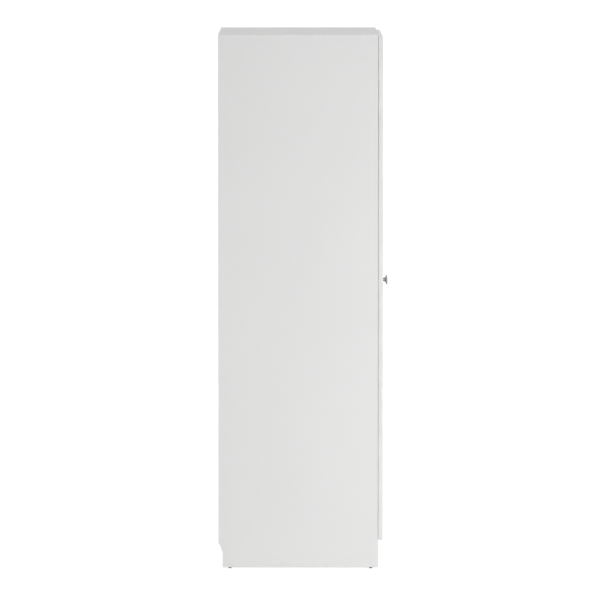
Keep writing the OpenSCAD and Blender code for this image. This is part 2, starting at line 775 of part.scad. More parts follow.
// Cups, let into the doors, with bosses inside for their pins
module cup_boss(p, z0, z1) {
    both_ways() slab(z0, z1) {
        disc(p, eye_r);
        translate([p.x - eye_r, p.y]) square([2 * eye_r, cup_floor_y - p.y + cup_wall / 2]);
    }
}
module hinge_cup() {
    difference() {
        union() {
            difference() {
                to_back([cup_x, door_gap, 0]) cylinder(r = cup_r, h = cup_deep);
                to_back([cup_x, door_gap - cut, 0])
                    cylinder(r = cup_r - cup_wall, h = cup_deep - cup_wall + cut);
            }
            cup_boss(cup_inner_pin, inner_boss_z0, inner_boss_z1);
            cup_boss(cup_outer_pin, outer_boss_z0, outer_boss_z1);
            both_ways() cup_wing();
        }
        both_ways() slab(-cut, cheek_z1) disc(cup_outer_pin, pin_r + pin_press);
        both_ways() slab(-cut, inner_boss_z1 + cut) disc(cup_inner_pin, pin_r + pin_press);
        for (s = [-1, 1]) to_front([cup_screw_x, door_gap - cup_wing_t, s * cup_screw_pitch / 2])
            countersunk_hole(cup_screw_d, cup_screw_l);
    }
}
module cup_wing() {
    y = door_gap - cup_wing_t;
    end_z = cup_screw_pitch / 2;
    difference() {
        union() {
            block([cup_screw_x - cup_wing_half, y, cup_wing_z],
                [cup_screw_x + cup_wing_half, door_gap, end_z]);
            to_back([cup_screw_x, y, end_z]) cylinder(r = cup_wing_half, h = cup_wing_t);
        }
        to_back([cup_x, y - cut, 0]) cylinder(r = cup_r - cup_wall, h = cup_wing_t + 2 * cut);
    }
}
module cup_pins() {
    at_hinges() {
        slab(-inner_boss_z1, inner_boss_z1) disc(cup_inner_pin, pin_r);
        both_ways() slab(pin_gap_z, outer_boss_z1) disc(cup_outer_pin, pin_r);
    }
}
module cup_screws() {
    at_hinges() for (s = [-1, 1]) to_front([cup_screw_x, door_gap - cup_wing_t, s * cup_screw_pitch / 2])
        countersunk_screw(cup_screw_d - 2 * fit, cup_screw_l);
}

// Inner links: one bar in the middle of each hinge, with a sleeve round the arm's inner pin
module inner_link() {
    difference() {
        union() {
            slab(-inner_link_z, inner_link_z) {
                disc(cup_inner_pin, eye_r);
                disc(arm_inner_pin, eye_r);
                bar(cup_inner_pin, arm_inner_pin, link_half);
            }
            slab(-sleeve_z, sleeve_z) disc(arm_inner_pin, sleeve_r);
        }
        slab(-sleeve_z - cut, sleeve_z + cut) disc(arm_inner_pin, pin_r + fit);
        slab(-sleeve_z - cut, sleeve_z + cut) disc(cup_inner_pin, pin_r + fit);
    }
}

// Outer links: a pair of bent plates on each hinge, slotted round the arm's outer pin. They
// are drawn along X from the cup's outer pin.
module slot_shape(r) {
    x0 = outer_l + slot_low;
    x1 = outer_l + slot_high;
    disc([x0, 0], r);
    disc([x1, 0], r);
    translate([x0, -r]) square([x1 - x0, 2 * r]);
}
module outer_link() {
    h = plate_half;
    translate(cup_outer_pin) rotate(atan2(outer_way.y, outer_way.x)) difference() {
        union() {
            disc([0, 0], eye_r);
            polygon([
                [0, h], [outer_bend_in.x, outer_bend_in.y + h],
                [outer_bend_out.x, outer_bend_out.y + h], [outer_l, h],
                [outer_l, -h], [outer_bend_out.x, outer_bend_out.y - h],
                [outer_bend_in.x, outer_bend_in.y - h], [0, -h]
            ]);
            slot_shape(slot_r + slot_wall);
        }
        disc([0, 0], pin_r + fit);
        slot_shape(slot_r);
    }
}
module outer_links() { at_hinges() both_ways() slab(outer_link_z0, outer_link_z1) outer_link(); }

// The pieces, each of the left ones mirrored for the right side
module left_side_board() color("whitesmoke") side_board();
module right_side_board() color("whitesmoke") right_side() side_board();
module left_back_leaf() color("gainsboro") back_leaf();
module right_back_leaf() color("gainsboro") right_side() back_leaf();
module rail_sockets() color("silver") both_sides() rail_socket();
module wall_brackets() color("lightgray") both_sides() wall_bracket();
module left_door_board() color("whitesmoke") door_board();
module right_door_board() color("whitesmoke") right_side() door_board();
module left_door_long_edging() color("white") door_long_edging();
module right_door_long_edging() color("white") right_side() door_long_edging();
module left_door_short_edging() color("white") door_short_edging();
module right_door_short_edging() color("white") right_side() door_short_edging();
module left_knob() color("darkgray") knob();
module right_knob() color("darkgray") right_side() knob();
module left_knob_screw() color("gray") knob_screw();
module right_knob_screw() color("gray") right_side() knob_screw();
module left_hinge_plates() color("lightgray") at_hinges() hinge_plate();
module right_hinge_plates() color("lightgray") right_side() at_hinges() hinge_plate();
module left_hinge_arms() color("silver") at_hinges() hinge_arm();
module right_hinge_arms() color("silver") right_side() at_hinges() hinge_arm();
module left_plate_screws() color("gray") plate_screws();
module right_plate_screws() color("gray") right_side() plate_screws();
module left_arm_screws() color("gray") arm_screws();
module right_arm_screws() color("gray") right_side() arm_screws();
module left_arm_pins() color("dimgray") arm_pins();
module right_arm_pins() color("dimgray") right_side() arm_pins();
module left_hinge_cups() color("silver") at_hinges() hinge_cup();
module right_hinge_cups() color("silver") right_side() at_hinges() hinge_cup();
module left_cup_pins() color("dimgray") cup_pins();
module right_cup_pins() color("dimgray") right_side() cup_pins();
module left_cup_screws() color("gray") cup_screws();
module right_cup_screws() color("gray") right_side() cup_screws();
module left_inner_links() color("silver") at_hinges() inner_link();
module right_inner_links() color("silver") right_side() at_hinges() inner_link();
module left_outer_links() color("silver") outer_links();
module right_outer_links() color("silver") right_side() outer_links();

left_side_board();
right_side_board();
top_board();
bottom_board();
plinth_board();
left_back_leaf();
right_back_leaf();
back_joining_strip();
upright_edging();
level_edging();
hat_shelf();
shelf_studs();
clothes_rail();
rail_sockets();
rail_socket_screws();
cam_locks();
cam_bolts();
wooden_dowels();
glides();
door_bumpers();
wall_brackets();
wall_bracket_screws();
left_door_board();
right_door_board();
left_door_long_edging();
left_door_short_edging();
right_door_long_edging();
right_door_short_edging();
left_knob();
right_knob();
left_knob_screw();
right_knob_screw();
left_hinge_plates();
right_hinge_plates();
left_hinge_arms();
right_hinge_arms();
left_plate_screws();
right_plate_screws();
left_arm_screws();
right_arm_screws();
left_arm_pins();
right_arm_pins();
left_hinge_cups();
right_hinge_cups();
left_cup_pins();
right_cup_pins();
left_cup_screws();
right_cup_screws();
left_inner_links();
right_inner_links();
left_outer_links();
right_outer_links();
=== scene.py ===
"""Wardrobe of coated boards: the camera, light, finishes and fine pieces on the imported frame."""

import json
import math

import bpy
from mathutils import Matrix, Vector

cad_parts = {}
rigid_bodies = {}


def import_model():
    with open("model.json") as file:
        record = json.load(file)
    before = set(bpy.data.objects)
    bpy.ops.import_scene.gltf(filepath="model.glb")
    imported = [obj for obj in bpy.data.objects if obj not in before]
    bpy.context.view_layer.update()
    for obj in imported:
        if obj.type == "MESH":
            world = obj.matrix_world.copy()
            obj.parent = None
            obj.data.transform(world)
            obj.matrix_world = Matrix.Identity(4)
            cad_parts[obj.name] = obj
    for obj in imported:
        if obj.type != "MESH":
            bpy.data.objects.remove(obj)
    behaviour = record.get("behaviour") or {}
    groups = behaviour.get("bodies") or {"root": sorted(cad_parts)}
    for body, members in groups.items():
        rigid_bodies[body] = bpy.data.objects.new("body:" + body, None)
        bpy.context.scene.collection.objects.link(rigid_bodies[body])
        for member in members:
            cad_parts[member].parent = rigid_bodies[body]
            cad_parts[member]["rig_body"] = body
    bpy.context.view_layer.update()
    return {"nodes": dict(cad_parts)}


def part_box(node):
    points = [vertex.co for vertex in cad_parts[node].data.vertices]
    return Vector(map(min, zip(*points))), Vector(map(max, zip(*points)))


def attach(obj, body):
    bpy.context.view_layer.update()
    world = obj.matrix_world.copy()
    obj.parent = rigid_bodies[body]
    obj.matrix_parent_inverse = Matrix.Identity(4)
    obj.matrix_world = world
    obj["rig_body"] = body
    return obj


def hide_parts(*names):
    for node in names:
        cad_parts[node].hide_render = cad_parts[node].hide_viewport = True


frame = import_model()
nodes = frame["nodes"]

MM = 0.001
X, Y, Z = range(3)
SIDES = ("left", "right")
COLOUR, VALUE, VECTOR = "NodeSocketColor", "NodeSocketFloat", "NodeSocketVector"

# Camera: a long lens, a little above the top, square on to the left side
CAMERA_AT = (-20.95, 0.0124, 2.3855)
CAMERA_DOWN = 4.1224     # degrees below level
CAMERA_LENS = 366.58     # millimetres
CAMERA_SENSOR = 36       # millimetres
CAMERA_REACH = 400       # metres


def add_camera():
    turn = (math.radians(90 - CAMERA_DOWN), 0, math.radians(-90))
    bpy.ops.object.camera_add(location=CAMERA_AT, rotation=turn)
    camera = bpy.context.object
    camera.name = "photo_camera"
    camera.data.lens = CAMERA_LENS
    camera.data.sensor_width = CAMERA_SENSOR
    camera.data.clip_end = CAMERA_REACH
    camera.data.dof.use_dof = False
    bpy.context.scene.camera = camera


add_camera()


# ---- Node helpers: each adds its node to a tree and gives back what it puts out

def new_material(name):
    material = bpy.data.materials.new(name)
    material.use_nodes = True
    tree = material.node_tree
    return material, tree, tree.nodes["Principled BSDF"]


def new_group(name, inputs, outputs):
    tree = bpy.data.node_groups.new(name, "ShaderNodeTree")
    for label, kind, value in inputs:
        socket = tree.interface.new_socket(name=label, in_out="INPUT", socket_type=kind)
        socket.default_value = value
    for label, kind in outputs:
        tree.interface.new_socket(name=label, in_out="OUTPUT", socket_type=kind)
    return tree, tree.nodes.new("NodeGroupInput").outputs, tree.nodes.new("NodeGroupOutput").inputs


def feed(tree, value, socket):
    """Links an output to a socket, or sets the socket to a plain value."""
    if isinstance(value, bpy.types.NodeSocket):
        tree.links.new(value, socket)
    else:
        socket.default_value = value


def maths(tree, operation, first, second=0.0):
    node = tree.nodes.new("ShaderNodeMath")
    node.operation = operation
    feed(tree, first, node.inputs[0])
    feed(tree, second, node.inputs[1])
    return node.outputs[0]


def plus(tree, first, second):
    return maths(tree, "ADD", first, second)


def minus(tree, first, second):
    return maths(tree, "SUBTRACT", first, second)


def times(tree, first, second):
    return maths(tree, "MULTIPLY", first, second)


def vector_maths(tree, operation, first, second):
    node = tree.nodes.new("ShaderNodeVectorMath")
    node.operation = operation
    feed(tree, first, node.inputs[0])
    feed(tree, second, node.inputs[1])
    return node.outputs[0]


def axes(tree, vector):
    """The vector's x, y and z."""
    node = tree.nodes.new("ShaderNodeSeparateXYZ")
    feed(tree, vector, node.inputs[0])
    return node.outputs


def spread(tree, value, old, new):
    """The value, moved from an old range to a new one and kept inside it."""
    node = tree.nodes.new("ShaderNodeMapRange")
    for label, number in (("Value", value), ("From Min", old[0]), ("From Max", old[1]),
                          ("To Min", new[0]), ("To Max", new[1])):
        feed(tree, number, node.inputs[label])
    return node.outputs["Result"]


NOISE_RANGE = (0.3, 0.7)    # where nearly all of a noise lies


def wavering(tree, value, low, high):
    """A noise, spread between two values."""
    return spread(tree, value, NOISE_RANGE, (low, high))


def noise(tree, place, scale, detail=3.0, rough=0.5):
    node = tree.nodes.new("ShaderNodeTexNoise")
    for label, number in (("Vector", place), ("Scale", scale),
                          ("Detail", detail), ("Roughness", rough)):
        feed(tree, number, node.inputs[label])
    return node.outputs["Fac"]


def cells(tree, place, scale):
    node = tree.nodes.new("ShaderNodeTexVoronoi")
    feed(tree, place, node.inputs["Vector"])
    feed(tree, scale, node.inputs["Scale"])
    return node.outputs


def stretched(tree, place, scale):
    node = tree.nodes.new("ShaderNodeMapping")
    feed(tree, place, node.inputs["Vector"])
    feed(tree, scale, node.inputs["Scale"])
    return node.outputs["Vector"]


def blended(tree, factor, first, second):
    """Two colours, mixed by a factor: 0 is the first and 1 is the second."""
    node = tree.nodes.new("ShaderNodeMix")
    node.data_type = "RGBA"
    colour_a, colour_b = node.inputs[6], node.inputs[7]
    feed(tree, factor, node.inputs["Factor"])
    feed(tree, first, colour_a)
    feed(tree, second, colour_b)
    return node.outputs[2]


def ramp(tree, value, stops):
    node = tree.nodes.new("ShaderNodeValToRGB")
    while len(node.color_ramp.elements) < len(stops):
        node.color_ramp.elements.new(0.5)
    for element, (place, colour) in zip(node.color_ramp.elements, stops):
        element.position = place
        element.color = colour + (1,)
    feed(tree, value, node.inputs["Fac"])
    return node.outputs["Color"]


def brightened(tree, colour, factor):
    node = tree.nodes.new("ShaderNodeVectorMath")
    node.operation = "SCALE"
    feed(tree, colour, node.inputs[0])
    feed(tree, factor, node.inputs["Scale"])
    return node.outputs[0]


def object_place(tree):
    return tree.nodes.new("ShaderNodeTexCoord").outputs["Object"]


def use_group(tree, group, **values):
    node = tree.nodes.new("ShaderNodeGroup")
    node.node_tree = group
    for label, value in values.items():
        feed(tree, value, node.inputs[label.replace("_", " ")])
    return node.outputs


def surface(tree, shader, colour, rough, height, relief):
    """Gives the shader its colour, roughness and bump; relief is the bump's depth in metres."""
    feed(tree, colour, shader.inputs["Base Color"])
    feed(tree, rough, shader.inputs["Roughness"])
    node = tree.nodes.new("ShaderNodeBump")
    node.inputs["Distance"].default_value = relief
    node.inputs["Strength"].default_value = 1.0
    feed(tree, height, node.inputs["Height"])
    feed(tree, node.outputs["Normal"], shader.inputs["Normal"])


# ---- Surface effects that several finishes share. Dullness is 0 for a mirror and 1 for matt

def make_foil_group():
    """Coated foil: a slightly cloudy white with upright smears and a fine peel."""
    tree, given, out = new_group(
        "coated_foil",
        [("Tint", COLOUR, (1, 1, 1, 1)), ("Mottle", VALUE, 0.02),
         ("Peel Scale", VALUE, 700.0), ("Dullness", VALUE, 0.35)],
        [("Color", COLOUR), ("Roughness", VALUE), ("Height", VALUE)])
    place = object_place(tree)
    cloud = wavering(tree, noise(tree, place, scale=2.6, detail=4, rough=0.6), -1, 1)
    shade = plus(tree, times(tree, cloud, given["Mottle"]), 1.0)
    feed(tree, brightened(tree, given["Tint"], shade), out["Color"])
    smears = noise(tree, stretched(tree, place, (1, 1, 0.35)), scale=7, detail=6, rough=0.62)
    feed(tree, plus(tree, given["Dullness"], wavering(tree, smears, -0.05, 0.05)), out["Roughness"])
    peel = times(tree, cells(tree, place, given["Peel Scale"])["Distance"], 0.6)
    fine = times(tree, noise(tree, place, scale=2600.0, detail=2), 0.4)
    feed(tree, plus(tree, peel, fine), out["Height"])
    return tree


def make_edge_group():
    """A mask along the edges of a board that lies between two corners, ragged by noise."""
    tree, given, out = new_group(
        "handled_edges",
        [("Low", VECTOR, (0, 0, 0)), ("High", VECTOR, (1, 1, 1)), ("Width", VALUE, 0.004)],
        [("Mask", VALUE)])
    place = object_place(tree)
    near = vector_maths(tree, "MINIMUM", vector_maths(tree, "SUBTRACT", place, given["Low"]),
                        vector_maths(tree, "SUBTRACT", given["High"], place))
    # Of the distances to the faces, the least is 0 all over, and the middle one is 0 at an edge
    x, y, z = axes(tree, near)
    least = maths(tree, "MINIMUM", x, maths(tree, "MINIMUM", y, z))
    most = maths(tree, "MAXIMUM", x, maths(tree, "MAXIMUM", y, z))
    total = plus(tree, x, plus(tree, y, z))
    middle = minus(tree, minus(tree, total, least), most)
    waver = wavering(tree, noise(tree, place, scale=90.0, detail=4, rough=0.65), 0.35, 1.3)
    ragged = times(tree, waver, given["Width"])
    feed(tree, spread(tree, middle, (0.0, ragged), (1.0, 0.0)), out["Mask"])
    return tree


def make_scuff_group():
    """A mask of faint marks close above the floor, left by shoes and a broom."""
    tree, given, out = new_group("floor_scuffs", [("Height", VALUE, 0.06)], [("Mask", VALUE)])
    place = object_place(tree)
    low = spread(tree, axes(tree, place)[Z], (0.0, given["Height"]), (1.0, 0.0))
    streaks = noise(tree, stretched(tree, place, (30, 30, 160)), scale=1.0, detail=5, rough=0.7)
    marks = spread(tree, streaks, (0.5, 0.72), (0.0, 1.0))
    feed(tree, times(tree, low, marks), out["Mask"])
    return tree


CHIP_COLOURS = [(0.1, (0.2, 0.12, 0.06)), (0.32, (0.42, 0.29, 0.17)),
                (0.6, (0.58, 0.44, 0.28)), (0.9, (0.74, 0.61, 0.43))]


def make_chip_group():
    """The bare core of a chipboard: flakes of several browns."""
    tree, given, out = new_group(
        "chip_core", [("Chip Scale", VALUE, 420.0)], [("Color", COLOUR), ("Height", VALUE)])
    place = object_place(tree)
    warped = noise(tree, place, scale=240.0, detail=4, rough=0.7)
    flakes = cells(tree, stretched(tree, place, (1.0, 0.6, 1.0)), given["Chip Scale"])
    single = tree.nodes.new("ShaderNodeSeparateColor")
    feed(tree, flakes["Color"], single.inputs[0])
    mixed = plus(tree, times(tree, single.outputs[0], 0.7), times(tree, warped, 0.3))
    feed(tree, ramp(tree, mixed, CHIP_COLOURS), out["Color"])
    feed(tree, plus(tree, flakes["Distance"], warped), out["Height"])
    return tree


def make_fibre_group():
    """The bare rear face of a hardboard: pressed fibres, dark specks and wide blotches."""
    tree, given, out = new_group(
        "pressed_fibre", [("Tint", COLOUR, (0.3, 0.19, 0.11, 1))],
        [("Color", COLOUR), ("Height", VALUE)])
    place = object_place(tree)
    fibres = noise(tree, stretched(tree, place, (900, 900, 260)), scale=1.0, detail=5, rough=0.7)
    blotches = noise(tree, place, scale=16.0, detail=5, rough=0.7)
    specks = spread(tree, cells(tree, place, 330.0)["Distance"], (0.05, 0.2), (0.7, 1.0))
    shade = times(tree, wavering(tree, fibres, 0.72, 1.25), specks)
    shade = times(tree, shade, wavering(tree, blotches, 0.94, 1.06))
    feed(tree, brightened(tree, given["Tint"], shade), out["Color"])
    feed(tree, fibres, out["Height"])
    return tree


def make_metal_group():
    """Worked metal: a fine grain, drawn out along the axis where its scale is small."""
    tree, given, out = new_group(
        "worked_metal",
        [("Tint", COLOUR, (0.6, 0.6, 0.6, 1)), ("Grain", VECTOR, (900, 900, 900)),
         ("Depth", VALUE, 0.08), ("Dullness", VALUE, 0.3)],
        [("Color", COLOUR), ("Roughness", VALUE), ("Height", VALUE)])
    place = object_place(tree)
    drawn_out = vector_maths(tree, "MULTIPLY", place, given["Grain"])
    grain = noise(tree, drawn_out, scale=1.0, detail=4, rough=0.65)
    cloud = noise(tree, place, scale=55.0, detail=4, rough=0.6)
    signed = wavering(tree, grain, -1, 1)
    shade = plus(tree, times(tree, signed, given["Depth"]), wavering(tree, cloud, 0.94, 1.05))
    feed(tree, brightened(tree, given["Tint"], shade), out["Color"])
    rough = plus(tree, times(tree, signed, 0.06), wavering(tree, cloud, -0.05, 0.06))
    feed(tree, plus(tree, given["Dullness"], rough), out["Roughness"])
    feed(tree, grain, out["Height"])
    return tree


def make_turned_group():
    """The fine rings that a lathe leaves round an axis along y, through the centre."""
    tree, given, out = new_group(
        "turned_rings", [("Centre", VECTOR, (0, 0, 0)), ("Pitch", VALUE, 9000.0)],
        [("Value", VALUE)])
    x, y, z = axes(tree, vector_maths(tree, "SUBTRACT", object_place(tree), given["Centre"]))
    radius = maths(tree, "SQRT", plus(tree, times(tree, x, x), times(tree, z, z)))
    line = tree.nodes.new("ShaderNodeCombineXYZ")
    feed(tree, times(tree, radius, given["Pitch"]), line.inputs[X])
    feed(tree, times(tree, y, times(tree, given["Pitch"], 0.4)), line.inputs[Y])
    feed(tree, noise(tree, line.outputs[0], scale=1.0, detail=3, rough=0.6), out["Value"])
    return tree


def make_plastic_group():
    """Moulded plastic: fine pits, and a flow that changes shade and gloss a little."""
    tree, given, out = new_group(
        "moulded_plastic",
        [("Tint", COLOUR, (0.1, 0.1, 0.1, 1)), ("Texture Scale", VALUE, 1800.0),
         ("Dullness", VALUE, 0.45)],
        [("Color", COLOUR), ("Roughness", VALUE), ("Height", VALUE)])
    place = object_place(tree)
    pits = noise(tree, place, given["Texture Scale"], detail=3, rough=0.6)
    flow = noise(tree, stretched(tree, place, (1, 1, 0.2)), scale=60.0, detail=3, rough=0.5)
    feed(tree, brightened(tree, given["Tint"], wavering(tree, flow, 0.96, 1.04)), out["Color"])
    feed(tree, plus(tree, given["Dullness"], wavering(tree, flow, -0.05, 0.05)), out["Roughness"])
    feed(tree, pits, out["Height"])
    return tree


def make_grain_group():
    """Raw beech along x: fine lines and short darker flecks."""
    tree, given, out = new_group(
        "beech_grain", [("Tint", COLOUR, (0.6, 0.42, 0.26, 1))],
        [("Color", COLOUR), ("Height", VALUE)])
    place = object_place(tree)
    lines = noise(tree, stretched(tree, place, (90, 1500, 1500)), scale=1.0, detail=4, rough=0.6)
    short = noise(tree, stretched(tree, place, (400, 4000, 4000)), scale=1.0, detail=2)
    flecks = spread(tree, short, (0.6, 0.72), (1.0, 0.72))
    shade = times(tree, wavering(tree, lines, 0.82, 1.12), flecks)
    feed(tree, brightened(tree, given["Tint"], shade), out["Color"])
    feed(tree, lines, out["Height"])
    return tree


FOIL = make_foil_group()
CHIPS = make_chip_group()
FIBRE = make_fibre_group()
METAL = make_metal_group()
TURNED = make_turned_group()
PLASTIC = make_plastic_group()
GRAIN = make_grain_group()
EDGES = make_edge_group()
SCUFFS = make_scuff_group()


# ---- Finishes

BOARD_WHITE = (0.85, 0.85, 0.845, 1)
DOOR_WHITE = (0.86, 0.86, 0.855, 1)
STRIP_WHITE = (0.855, 0.853, 0.843, 1)
BACK_WHITE = (0.82, 0.82, 0.805, 1)
FIBRE_BROWN = (0.34, 0.22, 0.13, 1)
KNOB_NICKEL = (0.37, 0.365, 0.355, 1)
BEECH_TAN = (0.6, 0.42, 0.26, 1)
SCUFF_GREY = (0.42, 0.41, 0.39, 1)

HANDLED_SHADE = 0.965        # share of the colour that a handled edge keeps
BOARD_HANDLED_ROUGH = 0.1    # added to the roughness there
STRIP_HANDLED_ROUGH = 0.08
SCUFF_SHARE = 0.16           # of the scuffs' grey
SCUFF_ROUGH = 0.12           # added to the roughness there
CHIP_ROUGH = 0.85
CHIP_RELIEF = 6.0            # how many times deeper than the foil's
FIBRE_ROUGH = 0.72
FIBRE_RELIEF = 3.0
BEECH_ROUGH = 0.62
FOIL_SPECULAR = 0.45


def facing(tree, axis, sign, limit):
    """A mask of the faces that point one way along an axis, by more than a limit from 0 to 1."""
    normal = tree.nodes.new("ShaderNodeTexCoord").outputs["Normal"]
    return maths(tree, "GREATER_THAN", times(tree, axes(tree, normal)[axis], sign), limit)


def coated_board(board, raw_faces=(), scuffed=False, tint=BOARD_WHITE):
    """White foil on chipboard; raw_faces are (axis, sign) pairs of cut edges without foil."""
    material, tree, shader = new_material(board + "_foil")
    low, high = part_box(board)
    foil = use_group(tree, FOIL, Tint=tint, Mottle=0.009, Peel_Scale=650.0, Dullness=0.47)
    edges = use_group(tree, EDGES, Low=low, High=high, Width=0.003)["Mask"]
    colour = brightened(tree, foil["Color"], spread(tree, edges, (0, 1), (1.0, HANDLED_SHADE)))
    rough = plus(tree, foil["Roughness"], times(tree, edges, BOARD_HANDLED_ROUGH))
    height = foil["Height"]
    shader.inputs["Specular IOR Level"].default_value = FOIL_SPECULAR
    if scuffed:
        scuffs = use_group(tree, SCUFFS, Height=0.06)["Mask"]
        colour = blended(tree, times(tree, scuffs, SCUFF_SHARE), colour, SCUFF_GREY)
        rough = plus(tree, rough, times(tree, scuffs, SCUFF_ROUGH))
    if raw_faces:
        mask = None
        for axis, sign in raw_faces:
            here = facing(tree, axis, sign, limit=0.3)
            mask = here if mask is None else maths(tree, "MAXIMUM", mask, here)
        core = use_group(tree, CHIPS, Chip_Scale=420.0)
        colour = blended(tree, mask, colour, core["Color"])
        rough = spread(tree, mask, (0, 1), (rough, CHIP_ROUGH))
        height = plus(tree, height, times(tree, times(tree, core["Height"], mask), CHIP_RELIEF))
    surface(tree, shader, colour, rough, height, relief=0.00004)
    return material


def edge_strip(name, low, high):
    """White edging plastic, duller where hands touch the edges of the board between two corners."""
    material, tree, shader = new_material(name)
    strip = use_group(tree, PLASTIC, Tint=STRIP_WHITE, Texture_Scale=900.0, Dullness=0.36)
    edges = use_group(tree, EDGES, Low=low, High=high, Width=0.0012)["Mask"]
    colour = brightened(tree, strip["Color"], spread(tree, edges, (0, 1), (1.0, HANDLED_SHADE)))
    rough = plus(tree, strip["Roughness"], times(tree, edges, STRIP_HANDLED_ROUGH))
    surface(tree, shader, colour, rough, strip["Height"], relief=0.00005)
    return material


def lacquered_back():
    """Thin hardboard, lacquered white inside and bare behind."""
    material, tree, shader = new_material("lacquered_hardboard")
    foil = use_group(tree, FOIL, Tint=BACK_WHITE, Mottle=0.02, Peel_Scale=380.0, Dullness=0.42)
    fibre = use_group(tree, FIBRE, Tint=FIBRE_BROWN)
    rear = facing(tree, Y, 1, limit=0.5)
    colour = blended(tree, rear, foil["Color"], fibre["Color"])
    rough = spread(tree, rear, (0, 1), (foil["Roughness"], FIBRE_ROUGH))
    fibre_height = times(tree, times(tree, fibre["Height"], rear), FIBRE_RELIEF)
    height = plus(tree, foil["Height"], fibre_height)
    surface(tree, shader, colour, rough, height, relief=0.00004)
    return material


def metal(name, tint, dullness, grain=(900, 900, 900), depth=0.06, relief=0.00002):
    material, tree, shader = new_material(name)
    worked = use_group(tree, METAL, Tint=tint + (1,), Grain=grain, Depth=depth, Dullness=dullness)
    shader.inputs["Metallic"].default_value = 1.0
    surface(tree, shader, worked["Color"], worked["Roughness"], worked["Height"], relief)
    return material


def turned_nickel(name, centre):
    material, tree, shader = new_material(name)
    worked = use_group(tree, METAL, Tint=KNOB_NICKEL, Grain=(500, 500, 500),
                       Depth=0.03, Dullness=0.27)
    rings = use_group(tree, TURNED, Centre=centre, Pitch=9000.0)["Value"]
    shader.inputs["Metallic"].default_value = 1.0
    colour = brightened(tree, worked["Color"], wavering(tree, rings, 0.9, 1.1))
    rough = plus(tree, worked["Roughness"], wavering(tree, rings, -0.05, 0.06))
    surface(tree, shader, colour, rough, rings, relief=0.00002)
    return material


def plastic(name, tint, dullness, texture=1800.0, relief=0.00003, clear=0.0):
    material, tree, shader = new_material(name)
    moulded = use_group(tree, PLASTIC, Tint=tint + (1,), Texture_Scale=texture, Dullness=dullness)
    shader.inputs["Transmission Weight"].default_value = clear
    surface(tree, shader, moulded["Color"], moulded["Roughness"], moulded["Height"], relief)
    return material


def beech():
    material, tree, shader = new_material("raw_beech")
    wood = use_group(tree, GRAIN, Tint=BEECH_TAN)
    surface(tree, shader, wood["Color"], BEECH_ROUGH, wood["Height"], relief=0.00006)
    return material


def door_box(side):
    """The corners of a door with its edging."""
    long_low, long_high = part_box(side + "_door_long_edging")
    short_low, short_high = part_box(side + "_door_short_edging")
    return ([min(pair) for pair in zip(long_low, short_low)],
            [max(pair) for pair in zip(long_high, short_high)])


def knob_foot(side):
    """Where the knob's axis meets the door."""
    low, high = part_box(side + "_knob")
    return ((low[X] + high[X]) / 2, high[Y], (low[Z] + high[Z]) / 2)


CABINET_STRIP = edge_strip("cabinet_edge_strip", *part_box("upright_edging"))
DOOR_STRIP = {side: edge_strip(side + "_door_edge_strip", *door_box(side)) for side in SIDES}
BACK = lacquered_back()
BACK_STRIP = plastic("back_strip_plastic", (0.83, 0.83, 0.82), dullness=0.4, texture=900.0)
STUD_STEEL = metal("stud_steel", (0.62, 0.62, 0.62), dullness=0.28, grain=(300, 1400, 1400))
RAIL_CHROME = metal("rail_chrome", (0.74, 0.745, 0.75), dullness=0.1,
                    grain=(60, 1500, 1500), depth=0.02, relief=0.000006)
SOCKET_CHROME = metal("socket_chrome", (0.7, 0.7, 0.71), dullness=0.16,
                      grain=(700, 700, 700), depth=0.02, relief=0.00001)
SCREW_STEEL = metal("screw_steel", (0.58, 0.58, 0.57), dullness=0.3)
CAST_ZINC = metal("cast_zinc", (0.56, 0.56, 0.56), dullness=0.4,
                  grain=(1300, 1300, 1300), depth=0.07, relief=0.00004)
BOLT_STEEL = metal("bolt_steel", (0.62, 0.58, 0.46), dullness=0.32)
BRACKET_STEEL = metal("bracket_steel", (0.62, 0.62, 0.63), dullness=0.34, grain=(260, 1500, 1500))
HINGE_STEEL = metal("hinge_nickel", (0.64, 0.63, 0.6), dullness=0.2,
                    grain=(1400, 300, 300), depth=0.03, relief=0.00001)
PIN_STEEL = metal("pin_steel", (0.5, 0.5, 0.5), dullness=0.3, grain=(1500, 1500, 200))
GLIDE_PLASTIC = plastic("glide_plastic", (0.035, 0.035, 0.037), dullness=0.5)
BUMPER = plastic("bumper_soft_plastic", (0.8, 0.8, 0.8), dullness=0.3,
                 texture=1200.0, relief=0.00002, clear=0.6)
BEECH = beech()
KNOB_METAL = {side: turned_nickel(side + "_knob_nickel", knob_foot(side)) for side in SIDES}

